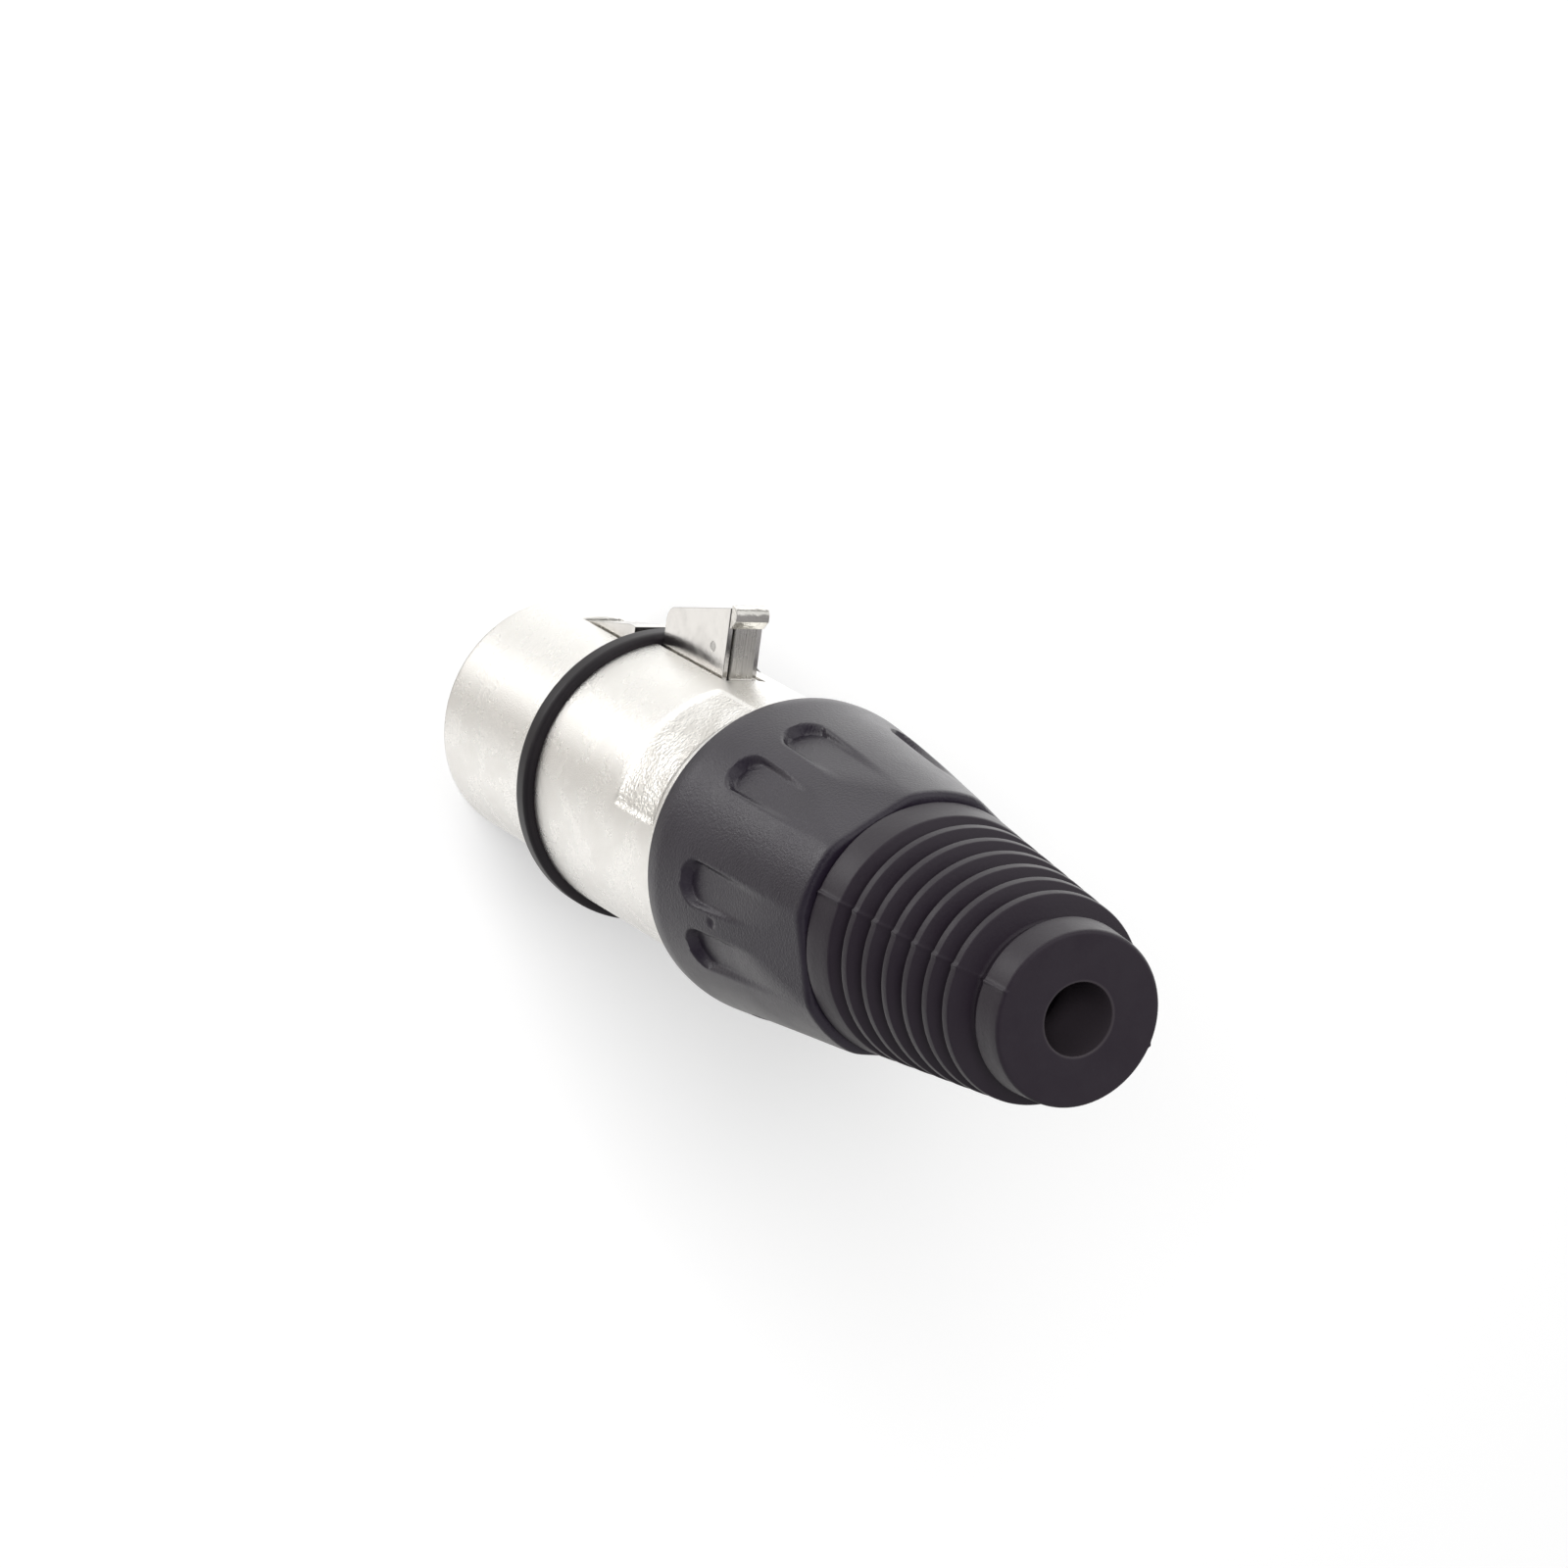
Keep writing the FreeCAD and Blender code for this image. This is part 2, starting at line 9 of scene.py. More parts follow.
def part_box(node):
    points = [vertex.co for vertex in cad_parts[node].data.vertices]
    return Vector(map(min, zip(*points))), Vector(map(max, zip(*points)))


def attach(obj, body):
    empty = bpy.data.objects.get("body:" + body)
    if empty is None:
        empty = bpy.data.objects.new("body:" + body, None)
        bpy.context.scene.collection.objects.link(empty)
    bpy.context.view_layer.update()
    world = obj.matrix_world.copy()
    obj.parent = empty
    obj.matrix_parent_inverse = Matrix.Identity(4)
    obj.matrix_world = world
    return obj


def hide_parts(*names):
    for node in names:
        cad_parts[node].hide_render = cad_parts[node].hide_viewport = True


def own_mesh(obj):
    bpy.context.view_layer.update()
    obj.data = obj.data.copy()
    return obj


# Female cable connector standing on its nose. Its axis is +Z and its latch is on the +X side.
# Shapes are worked out in millimetres about the axis, and MM turns them into metres.

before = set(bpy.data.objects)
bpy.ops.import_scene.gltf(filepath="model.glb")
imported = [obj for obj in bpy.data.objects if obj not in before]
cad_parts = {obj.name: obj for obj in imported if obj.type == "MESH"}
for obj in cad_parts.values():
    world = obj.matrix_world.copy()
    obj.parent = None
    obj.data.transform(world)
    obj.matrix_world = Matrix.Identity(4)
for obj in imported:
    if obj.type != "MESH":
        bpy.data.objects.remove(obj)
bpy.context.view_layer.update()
MM = 0.001
quarter_turn = np.radians(range(0, 91, 15))  # for rounded edges


def node_box(node):
    """Lowest and highest corners of a node, in millimetres."""
    low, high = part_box(node)
    return low / MM, high / MM


# Places along the axis and radii that the frame gives
shell_high = node_box("shell")[1]
ring_low, ring_high = node_box("marking_ring")
collar_low, collar_high = node_box("screw_collar")
boot_low, boot_high = node_box("boot")
insert_low, insert_high = node_box("contact_insert")
button_low, button_high = node_box("latch_button")
spring_low, spring_high = node_box("latch_spring")

# Nose, ring and body, from the nose face to the end of the neck
running_gap = 0.04
nose_radius = 7.95
nose_bore_radius = insert_high.y + running_gap
nose_edge_round = 0.3
nose_lip_width = 0.3
nose_lip_depth = insert_low.z
body_radius = shell_high.y
ring_shift = 0.2
ring_growth = 0.08
body_start = ring_high.z - ring_shift
body_end = collar_low.z - 0.25
body_edge_round = 0.25
shoulder_round = 0.12
neck_end = shell_high.z
chamfer = 0.1

# Slot of the latch, and the button that fills its rear end
slot_half_width = 1.4
slot_start = 4.7
slot_end = button_high.z + 0.25
nose_slot_round = 0.16
body_slot_round = 0.035
slot_front_reach = 0.01
slot_rear_reach = 0.1
thumb_slope = 0.2466
heel_top = body_radius - 0.2
heel_step = 0.3
button_lip = 0.8
button_lip_round = 0.6
button_lip_height = 0.92
button_lip_foot = 1.5
button_back_step = 0.22
button_body_width = 1.6
button_lip_width = 2.34
button_slope_drop = 0.2
button_back_drop = 0.16
button_edge_round = 0.06

# Screw thread on the neck
thread_root_radius = 7.42
thread_crest_radius = 7.86
thread_pitch = 1.0
thread_run_in = 0.8
thread_flank = (0.15, 0.8)

# Sunk field on the body
field_start_angle = 17.0
field_end_angle = 81.0
field_front = body_end - 6.5
field_rear = body_end - 2.0
field_depth = 0.14
field_wall = 0.5
field_flattening = 0.3

# Collar: crowned cone, planed sides, finger flutes in pairs, and the mark of the gate
collar_front_radius = 10.0
collar_crown_radius = 10.14
collar_crown_offset = 1.25
collar_rear_radius = 8.6
collar_front_round = 0.45
collar_rear_round = 0.4
collar_groups = 5
collar_group_azimuth = 33.0
facet_rear_radius = 8.1
facet_slope = 0.1469
flute_front = 4.35
flute_depth = 0.65
flute_floor_slope = 0.035
flute_half_width = 1.4
flute_wall = 0.13
flute_fading = 0.2
flute_fading_length = 7.0
flute_spread = 13.25
crown_blend = 0.12
facet_blend = 0.22
flute_blend = 0.2
gate_azimuth = 104.0
gate_height = 7.6
gate_radius = 0.36
gate_depth = 0.12

# Parting line of the boot's mould
seam_azimuths = (72.0, 252.0)
seam_height = 0.1
seam_half_width = 0.13
seam_reach = 1.6
seam_start = 2.0
seam_least_radius = 4.9

# Spring, with the share of its wire that closes each end and how far that part climbs
spring_wire_radius = 0.15
spring_turns = 5.5
spring_closed_share = 0.28
spring_closed_rise = 0.15

# Dust on the boot, and a paler colour in its bore that is painted light lifting the shade in the
# cable hole
dust_colour = (0.16, 0.155, 0.16)
painted_bore_light = (0.04, 0.033, 0.039)
bore_blend = 0.15


def soft_min(a, b, width):
    """The lower of two heights, with the corner between them rounded over a width."""
    share = np.clip(0.5 + 0.5 * (b - a) / width, 0.0, 1.0)
    return b + (a - b) * share - width * share * (1.0 - share)


def smooth_step(low, high, value):
    """0 below low, 1 above high and a smooth curve between them."""
    share = np.clip((value - low) / (high - low), 0.0, 1.0)
    return share * share * (3.0 - 2.0 * share)


def angle_between(a, b):
    """Signed difference of two azimuths in degrees, from -180 to 180."""
    return (a - b + 180.0) % 360.0 - 180.0


def run(start, end, step):
    """Evenly spaced values from start up to, but without, end."""
    count = max(1, math.ceil(abs(end - start) / step))
    return [start + (end - start) * i / count for i in range(count)]


def line(start, end, step):
    """Points (r, z) along a straight stretch, without its end."""
    count = max(1, math.ceil(math.dist(start, end) / step))
    return [
        (start[0] + (end[0] - start[0]) * i / count, start[1] + (end[1] - start[1]) * i / count)
        for i in range(count)
    ]


def rounded(corners, step=15.0, longest=100.0):
    """Points of a closed outline. A corner is (r, z, rounding radius)."""
    points = []
    count = len(corners)
    for i, (r, z, radius) in enumerate(corners):
        corner = Vector((r, z))
        back = (Vector(corners[i - 1][:2]) - corner).normalized()
        ahead = (Vector(corners[(i + 1) % count][:2]) - corner).normalized()
        half = back.angle(ahead) / 2
        if radius <= 0 or half > math.radians(89.9):
            points.append((r, z))
            continue
        reach = radius / math.tan(half)
        centre = corner + (back + ahead).normalized() * (radius / math.sin(half))
        first = corner + back * reach - centre
        last = corner + ahead * reach - centre
        turn = first.angle_signed(last)
        steps = max(2, math.ceil(abs(math.degrees(turn)) / step))
        for j in range(steps + 1):
            point = centre + Matrix.Rotation(-turn * j / steps, 2) @ first
            points.append((point.x, point.y))
    result = []
    for i, point in enumerate(points):
        result += line(point, points[(i + 1) % len(points)], longest)
    return result


def add_piece(name, points, faces, material, body, nodes, sharp=32.0):
    """A new mesh piece that stands for its nodes and rides on their body."""
    mesh = bpy.data.meshes.new(name)
    mesh.from_pydata((points * MM).tolist(), [], faces)
    mesh.validate()
    shape = bmesh.new()
    shape.from_mesh(mesh)
    bmesh.ops.remove_doubles(shape, verts=shape.verts, dist=1e-7)
    bmesh.ops.recalc_face_normals(shape, faces=shape.faces)
    shape.to_mesh(mesh)
    shape.free()
    return dress(name, mesh, material, body, nodes, sharp)


def settle_normals(mesh):
    """Corner normals weighted by area, so that flat faces stay flat beside rounded edges."""
    normals = np.zeros((len(mesh.vertices), 3))
    for polygon in mesh.polygons:
        normals[list(polygon.vertices)] += np.array(polygon.normal) * polygon.area ** 2
    lengths = np.linalg.norm(normals, axis=1, keepdims=True)
    mesh.normals_split_custom_set_from_vertices((normals / np.maximum(lengths, 1e-30)).tolist())


def dress(name, mesh, material, body, nodes, sharp=None, second=None):
    """Smooth shading, the finish and the place of a piece in the frame.

    The faces that were given index 1 take the second finish, where there is one.
    """
    for polygon in mesh.polygons:
        polygon.use_smooth = True
    if sharp is None:
        settle_normals(mesh)
    else:
        mesh.set_sharp_from_angle(angle=math.radians(sharp))
    piece = bpy.data.objects.new(name, mesh)
    bpy.context.scene.collection.objects.link(piece)
    indices = [polygon.material_index for polygon in mesh.polygons]
    mesh.materials.clear()
    mesh.materials.append(material)
    if second is not None:
        mesh.materials.append(second)
        mesh.polygons.foreach_set("material_index", indices)
    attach(piece, body)
    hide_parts(*nodes)
    return piece


def turned_points(radii, heights, azimuths):
    """Points of a turned grid: one row for each outline point, one column for each azimuth."""
    angles = np.radians(azimuths)
    radii = np.broadcast_to(radii, (radii.shape[0], angles.shape[-1]))
    heights = np.broadcast_to(heights, radii.shape)
    grid = np.stack([radii * np.cos(angles), radii * np.sin(angles), heights], -1)
    return grid.reshape(-1, 3)


def quad(columns, row, next_row, column, next_column):
    """Corners of one face between two rows and two columns of a grid of points."""
    return (row * columns + column, row * columns + next_column,
            next_row * columns + next_column, next_row * columns + column)


def turned_faces(rows, columns):
    """Quads of a grid that closes both round the axis and along its outline."""
    return [
        quad(columns, j, (j + 1) % rows, k, (k + 1) % columns)
        for j in range(rows) for k in range(columns)
    ]


def soften_slot(shape, rear, inside, edge, segments):
    """Round the slot's sharp edges up to a place along the axis and outside a radius."""
    edges = []
    half_width = slot_half_width + 0.001
    sharp = math.radians(50)
    for e in shape.edges:
        ends = [v.co / MM for v in e.verts]
        if all(c.x > inside and abs(c.y) < half_width and c.z < rear for c in ends):
            if e.is_manifold and e.calc_face_angle() > sharp:
                edges.append(e)
    bmesh.ops.bevel(shape, geom=edges, offset=edge * MM, segments=segments, profile=0.5,
                    affect="EDGES", clamp_overlap=True)


def cast_shell(material, grained):
    """Nose, body with the sunk field, threaded neck and the latch slot that opens them."""
    r, b, n = nose_radius, body_radius, nose_edge_round
    rows = [(r - n + n * math.sin(t), n - n * math.cos(t)) for t in quarter_turn]
    rows += line((r, n + 0.2), (r, slot_start), step=1.1)
    slot_front_row = len(rows)
    rows += line((r, slot_start), (r, body_start), step=1.0)
    rows += [(r, body_start), (b - shoulder_round, body_start)]
    edge = shoulder_round
    for t in quarter_turn[1:]:
        rows.append((b - edge + edge * math.sin(t), body_start + edge - edge * math.cos(t)))
    rows += line((b, body_start + 2 * edge), (b, slot_end), step=1.0)
    slot_rear_row = len(rows)
    rows += line((b, slot_end), (b, field_front - field_wall), step=0.4)
    field_rows = len(rows)
    rows += line((b, field_front - field_wall), (b, field_rear + field_wall), step=0.13)
    edge = body_edge_round
    rows += line((b, field_rear + field_wall), (b, body_end - edge), step=0.5)
    for t in quarter_turn:
        rows.append((b - edge + edge * math.cos(t), body_end - edge + edge * math.sin(t)))
    thread_row = len(rows)
    root, thread_end = thread_root_radius, neck_end - chamfer
    rows += line((root, body_end), (root, thread_end), step=0.1)
    thread_end_row = len(rows)
    rows += [(root, thread_end), (root - chamfer, neck_end), (nose_bore_radius, neck_end)]
    inner_rear_row = len(rows)
    rows += [(nose_bore_radius, slot_end), (nose_bore_radius, slot_start)]
    inner_front_row = inner_rear_row + 1
    rows += [(nose_bore_radius, nose_lip_depth)]
    lip = nose_bore_radius - nose_lip_width
    rows += [(lip, nose_lip_depth), (lip, chamfer), (lip + chamfer, 0.0)]

    columns, gap_columns = 360, 8
    outline = np.array(rows)
    radii, heights = outline[:, :1], outline[:, 1:]
    slot_angle = np.degrees(np.arcsin(slot_half_width / radii))
    share = np.linspace(0.0, 1.0, columns)[None, :]
    around = slot_angle + (360.0 - 2 * slot_angle) * share
    gap_share = np.linspace(0.0, 1.0, gap_columns + 2)[None, 1:-1]
    across = 360.0 - slot_angle + 2 * slot_angle * gap_share
    azimuths = np.concatenate([around, across], 1)
    total = azimuths.shape[1]
    radii = np.broadcast_to(radii, azimuths.shape).copy()
    z = np.broadcast_to(heights, azimuths.shape)

    inside = smooth_step(field_start_angle - 1, field_start_angle, azimuths)
    inside = inside * (1 - smooth_step(field_end_angle, field_end_angle + 1, azimuths))
    inside = inside * smooth_step(field_front - field_wall, field_front, z)
    inside = inside * (1 - smooth_step(field_rear, field_rear + field_wall, z))
    in_field = np.zeros(len(rows), bool)
    in_field[field_rows:thread_row] = True
    radii -= field_depth * inside * in_field[:, None]

    turn = (z - body_end) / thread_pitch - azimuths / 360.0
    wave = np.abs((turn % 1.0) - 0.5) * 2.0
    ridge = smooth_step(*thread_flank, wave)
    ridge = ridge * smooth_step(0.0, thread_run_in, z - body_end)
    ridge = ridge * (1 - smooth_step(neck_end - thread_run_in, neck_end, z))
    threaded = np.zeros(len(rows), bool)
    threaded[thread_row:thread_end_row] = True
    radii += (thread_crest_radius - thread_root_radius) * ridge * threaded[:, None]

    points = turned_points(radii, z, azimuths)
    faces, grained_faces = [], []
    for j in range(len(rows)):
        above = (j + 1) % len(rows)
        open_row = slot_front_row <= j < slot_rear_row or j == inner_rear_row
        for k in range(total):
            if open_row and k >= columns - 1:
                continue
            after = (k + 1) % total
            if in_field[j] and inside[j, k] > 0.5:
                grained_faces.append(len(faces))
            faces.append(quad(total, j, above, k, after))
    slot_rows = list(range(slot_front_row, slot_rear_row + 1)) + [inner_rear_row, inner_front_row]
    for k in (0, columns - 1):
        faces.append(tuple(j * total + k for j in slot_rows))
    gap = list(range(columns - 1, total)) + [0]
    ends = ((slot_front_row, inner_front_row), (slot_rear_row, inner_rear_row))
    for outer_row, inner_row in ends:
        for k, after in zip(gap, gap[1:]):
            faces.append(quad(total, outer_row, inner_row, k, after))

    mesh = bpy.data.meshes.new("shell_casting")
    mesh.from_pydata((points * MM).tolist(), [], faces)
    for index in grained_faces:
        mesh.polygons[index].material_index = 1
    shape = bmesh.new()
    shape.from_mesh(mesh)
    bmesh.ops.recalc_face_normals(shape, faces=shape.faces)
    wall_middle = (nose_bore_radius + nose_radius) / 2
    soften_slot(shape, slot_start + slot_front_reach, wall_middle, nose_slot_round, segments=4)
    soften_slot(shape, slot_end + slot_rear_reach, 0.0, body_slot_round, segments=2)
    shape.to_mesh(mesh)
    shape.free()
    dress("shell_casting", mesh, material, "connector_body", ["shell"],
          sharp=40.0, second=grained)


def turn_marking_ring(material):
    """Black bead between nose and body."""
    radius = ring_high.y + ring_growth
    inner = nose_radius + running_gap
    front, rear = ring_low.z - ring_shift, body_start - running_gap / 2
    rows = rounded([
        (inner, front, 0.05),
        (radius, front, 0.32),
        (radius, rear, 0.42),
        (inner, rear, 0.05),
    ], step=12.0, longest=0.3)
    outline = np.array(rows)
    azimuths = np.linspace(0, 360, 300, endpoint=False)
    points = turned_points(outline[:, :1], outline[:, 1:], azimuths)
    add_piece("marking_bead", points, turned_faces(len(rows), len(azimuths)), material,
              "connector_body", ["marking_ring"])


def collar_surface(z, azimuths):
    """Radius of the collar's outside: crowned cone, five planed sides and ten finger flutes."""
    start, end = collar_low.z, collar_high.z
    crown = start + collar_crown_offset
    cone_slope = (collar_crown_radius - collar_rear_radius) / (end - crown)
    front_slope = (collar_crown_radius - collar_front_radius) / collar_crown_offset
    surface = soft_min(collar_front_radius + front_slope * (z - start),
                       collar_crown_radius - cone_slope * (z - crown), crown_blend)
    surface = np.broadcast_to(surface, np.broadcast_shapes(z.shape, azimuths.shape)).copy()
    depth_line = facet_rear_radius + facet_slope * (end - z)
    flute_start = start + flute_front
    nose_centre = flute_start + flute_half_width
    floor_start = collar_crown_radius - cone_slope * (flute_start - crown) - flute_depth
    groups = [collar_group_azimuth + i * 360.0 / collar_groups for i in range(collar_groups)]
    least_facing, near_facing, far_off = 0.2, 0.9, 9.0
    for group in groups:
        away = np.radians(angle_between(azimuths, group))
        facing = np.maximum(np.cos(away), least_facing)
        surface = soft_min(surface, depth_line / facing, facet_blend)
    plain = surface.copy()
    fading = np.clip((z - nose_centre) / flute_fading_length, 0, 1)
    wall = flute_wall + flute_fading * fading
    for group in groups:
        for azimuth in (group - flute_spread, group + flute_spread):
            away = np.radians(angle_between(azimuths, azimuth))
            facing = np.maximum(np.cos(away), least_facing)
            across = plain * np.sin(away)
            behind = np.maximum(nose_centre - z, 0.0)
            edge = np.hypot(across, behind) - flute_half_width
            edge = np.where(facing > near_facing, edge, far_off)
            inside = 1.0 - smooth_step(-wall, wall, edge + wall - flute_wall / 2)
            floor = (floor_start - flute_floor_slope * (z - flute_start)) / facing
            sunk = soft_min(plain, floor, flute_blend)
            surface = np.minimum(surface, plain + (sunk - plain) * inside)
    gate = np.hypot(plain * np.radians(angle_between(azimuths, gate_azimuth)),
                    z - start - gate_height)
    return surface - gate_depth * (1 - smooth_step(0.4 * gate_radius, gate_radius, gate))


def mould_collar(material):
    """Screw collar, with a rounded rim and a bore that clears the neck and the boot's flange."""
    start, end = collar_low.z, collar_high.z
    front, rear = collar_front_round, collar_rear_round
    z_values = [start + front * (1 - math.cos(t)) for t in quarter_turn[:-1]]
    z_values += run(start + front, end - rear, step=0.16)
    z_values += [end - rear + rear * math.sin(t) for t in quarter_turn]
    z = np.array(z_values)[:, None]
    azimuths = np.linspace(0, 360, 540, endpoint=False)
    outer = collar_surface(z, azimuths[None, :])
    front_share = np.clip((start + front - z) / front, 0, 1)
    rear_share = np.clip((z - end + rear) / rear, 0, 1)
    outer = outer - front * (1 - np.sqrt(1 - front_share ** 2))
    outer = outer - rear * (1 - np.sqrt(1 - rear_share ** 2))
    mouth, flange_seat, clamp_seat, clamp_bore, thread = 6.9, 7.3, 6.5, 7.05, 8.05
    flange_rear, flange_front, clamp_rear, clamp_front = end - 1.7, end - 3.1, end - 3.5, end - 9.0
    thread_end = neck_end + 0.6
    inner = np.array([
        (mouth + 0.05, end), (mouth, end - 0.05), (mouth, flange_rear), (flange_seat, flange_rear),
        (flange_seat, flange_front), (clamp_seat, flange_front), (clamp_seat, clamp_rear),
        (clamp_bore, clamp_front), (clamp_bore, thread_end), (thread, thread_end),
        (thread, start + chamfer), (thread + chamfer, start),
    ])
    inner_radii = np.broadcast_to(inner[:, :1], (len(inner), len(azimuths)))
    radii = np.concatenate([outer, inner_radii])
    points = turned_points(radii, np.concatenate([z, inner[:, 1:]]), azimuths)
    add_piece("collar_moulding", points, turned_faces(len(radii), len(azimuths)), material,
              "collar_body", ["screw_collar"], sharp=50.0)


def boot_outline():
    """Outline of the boot: flange, plain band, ribs, tail and stepped bore."""
    start, end = boot_low.z, boot_high.z
    flange_bore, flange_radius, waist_radius, band_radius = 5.6, 7.0, 6.6, 8.1
    neck_radius, tail_radius, end_radius, cable_radius, bore_radius = 5.0, 5.65, 5.48, 2.28, 3.3
    flange_end, band = start + 1.1, start + 3.15
    band_end = band + 2.5
    taper, ribs, depth, pitch, first, width, foot = 0.104, 6, 1.0, 2.11, 3.85, 0.62, 0.42
    fine, soft = 0.13, 0.22

    def outside(z):
        return band_radius - taper * (z - band)

    corners = [
        (flange_bore, start, 0.1), (flange_radius, start, 0.15), (flange_radius, flange_end, 0.15),
        (waist_radius, flange_end, 0.1), (waist_radius, band, 0.1), (band_radius, band, 0.25),
        (outside(band_end), band_end, 0.25), (outside(band_end) - depth, band_end + foot, soft),
    ]
    for i in range(ribs):
        front = band + first + i * pitch
        back = front + width
        floor = neck_radius if i == ribs - 1 else outside(back + foot) - depth
        corners += [
            (outside(front) - depth, front - 0.15, soft), (outside(front), front, fine),
            (outside(back), back, fine), (floor, back + foot, soft),
        ]
    corners += [
        (neck_radius, end - 2.65, 0.15), (tail_radius, end - 2.5, 0.22), (end_radius, end, 0.3),
        (cable_radius, end, 0.12), (cable_radius, end - 6.0, 0.0), (bore_radius, end - 9.4, 0.0),
        (bore_radius, start + 9.5, 0.0),
    ]
    return rounded(corners, step=15.0, longest=0.9)


def mould_boot(material):
    """Ribbed rubber boot, with the mould's parting line raised on two sides."""
    rows = np.array(boot_outline())
    radii, heights = rows[:, :1], rows[:, 1:]
    azimuths = set(np.linspace(0, 360, 300, endpoint=False).tolist())
    for seam in seam_azimuths:
        azimuths.update(seam + np.linspace(-seam_reach, seam_reach, 17))
    azimuths = np.array(sorted(azimuths))
    outside = (radii > seam_least_radius) & (heights > boot_low.z + seam_start)
    radii = np.broadcast_to(radii, (len(rows), len(azimuths))).copy()
    for seam in seam_azimuths:
        across = np.abs(radii * np.radians(angle_between(azimuths, seam)[None, :]))
        radii += seam_height * np.exp(-((across / seam_half_width) ** 2)) * outside
    points = turned_points(radii, heights, azimuths)
    add_piece("boot_moulding", points, turned_faces(len(rows), len(azimuths)), material,
              "boot_body", ["boot"], sharp=60.0)


def soften(node, name, material, body, edge):
    """A copy of a node with its sharp edges rounded, which stands for the node."""
    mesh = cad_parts[node].data.copy()
    mesh.name = name
    shape = bmesh.new()
    shape.from_mesh(mesh)
    bmesh.ops.remove_doubles(shape, verts=shape.verts, dist=1e-7)
    bmesh.ops.dissolve_limit(shape, angle_limit=math.radians(0.5), verts=shape.verts,
                             edges=shape.edges)
    sharp = math.radians(35)
    edges = [e for e in shape.edges if e.is_manifold and e.calc_face_angle() > sharp]
    bmesh.ops.bevel(shape, geom=edges, offset=edge * MM, segments=3, profile=0.5,
                    affect="EDGES", clamp_overlap=True)
    bmesh.ops.recalc_face_normals(shape, faces=shape.faces)
    shape.to_mesh(mesh)
    shape.free()
    dress(name, mesh, material, body, [node])


def plate_mesh(shape, outline, width, finish=0):
    """Add a flat plate to a mesh: an (x, z) outline pulled along y, centred on the latch plane."""
    sides = []
    for y in (-width / 2, width / 2):
        sides.append([shape.verts.new((x * MM, y * MM, z * MM)) for x, z in outline])
    near, far = sides
    walls = [near, far]
    for i in range(len(outline)):
        after = (i + 1) % len(outline)
        walls.append((near[i], near[after], far[after], far[i]))
    for corners in walls:
        shape.faces.new(corners).material_index = finish


def shape_button(material, polished_and_shaded):
    """Button cap: sloped top, brushed rear face, low heel and a rounded lip with a cut back."""
    top, end, floor, front = button_high.x, button_high.z, button_low.x, button_low.z
    back, lip_front = end - button_lip + button_back_step, end - button_lip + 0.05
    heel_end, lip_foot = end - heel_step, top - button_lip_foot
    slope_start = top - button_slope_drop - thumb_slope * (lip_front - front)
    back_top = top - button_back_drop
    shape = bmesh.new()
    plate_mesh(shape, rounded([
        (floor, front, 0.0), (slope_start, front, 0.05), (back_top, back, 0.0),
        (heel_top, back, 0.08), (heel_top, heel_end, 0.08), (floor, heel_end, 0.0),
    ]), button_body_width)
    # The lip's faces take the second finish, whose darker colour is painted shade
    plate_mesh(shape, rounded([
        (top, lip_front, 0.08), (top, end, button_lip_round),
        (top - button_lip_height, end, 0.12), (lip_foot, back + 0.03, 0.06),
        (lip_foot, lip_front, 0.0),
    ], step=12.0), button_lip_width, finish=1)
    bmesh.ops.recalc_face_normals(shape, faces=shape.faces)
    sharp = math.radians(60)
    edges = [e for e in shape.edges if e.calc_face_angle() > sharp]
    bmesh.ops.bevel(shape, geom=edges, offset=button_edge_round * MM, segments=2, profile=0.5,
                    affect="EDGES", clamp_overlap=True)
    mesh = bpy.data.meshes.new("button_cap")
    shape.to_mesh(mesh)
    shape.free()
    dress("button_cap", mesh, material, "latch", ["latch_button"], second=polished_and_shaded)


def wind_spring(material):
    """Round wire coil with closed ends, between the pocket of the insert and the lever."""
    wire, closed, rise = spring_wire_radius, spring_closed_share, spring_closed_rise
    centre_z = (spring_low.z + spring_high.z) / 2
    coil = (spring_high.z - spring_low.z) / 2 - wire
    low, high = spring_low.x + wire, spring_high.x - wire
    steps, around = 200, 10
    share = np.linspace(0, 1, steps)
    angle = 2 * math.pi * spring_turns * share
    climb = smooth_step(0.0, closed, share) * 0.5 + smooth_step(1 - closed, 1.0, share) * 0.5
    even = np.clip((share - closed / 2) / (1 - closed), 0, 1)
    x = low + (high - low) * (rise * climb + (1 - rise) * even)
    centre = np.stack([x, coil * np.cos(angle), centre_z + coil * np.sin(angle)], -1)
    outward = np.stack([np.zeros(steps), np.cos(angle), np.sin(angle)], -1)
    side = np.array([1.0, 0.0, 0.0])
    ring = np.linspace(0, 2 * math.pi, around, endpoint=False)
    points = (centre[:, None] + wire * np.cos(ring)[None, :, None] * outward[:, None]
              + wire * np.sin(ring)[None, :, None] * side)
    faces = [
        quad(around, j, j + 1, k, (k + 1) % around)
        for j in range(steps - 1) for k in range(around)
    ]
    faces.append(tuple(range(around)))
    faces.append(tuple((steps - 1) * around + k for k in reversed(range(around))))
    piece = add_piece("spring_coil", points.reshape(-1, 3), faces, material, "connector_body",
                      ["latch_spring"], sharp=60.0)
    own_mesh(piece)


def new_group(name, inputs, outputs):
    """An empty node group with float inputs (name, value) and the outputs named."""
    group = bpy.data.node_groups.new(name, "ShaderNodeTree")
    for label, value in inputs:
        socket = group.interface.new_socket(label, in_out="INPUT", socket_type="NodeSocketFloat")
        socket.default_value = value
    for label in outputs:
        group.interface.new_socket(label, in_out="OUTPUT", socket_type="NodeSocketFloat")
    return group, group.nodes.new("NodeGroupInput"), group.nodes.new("NodeGroupOutput")


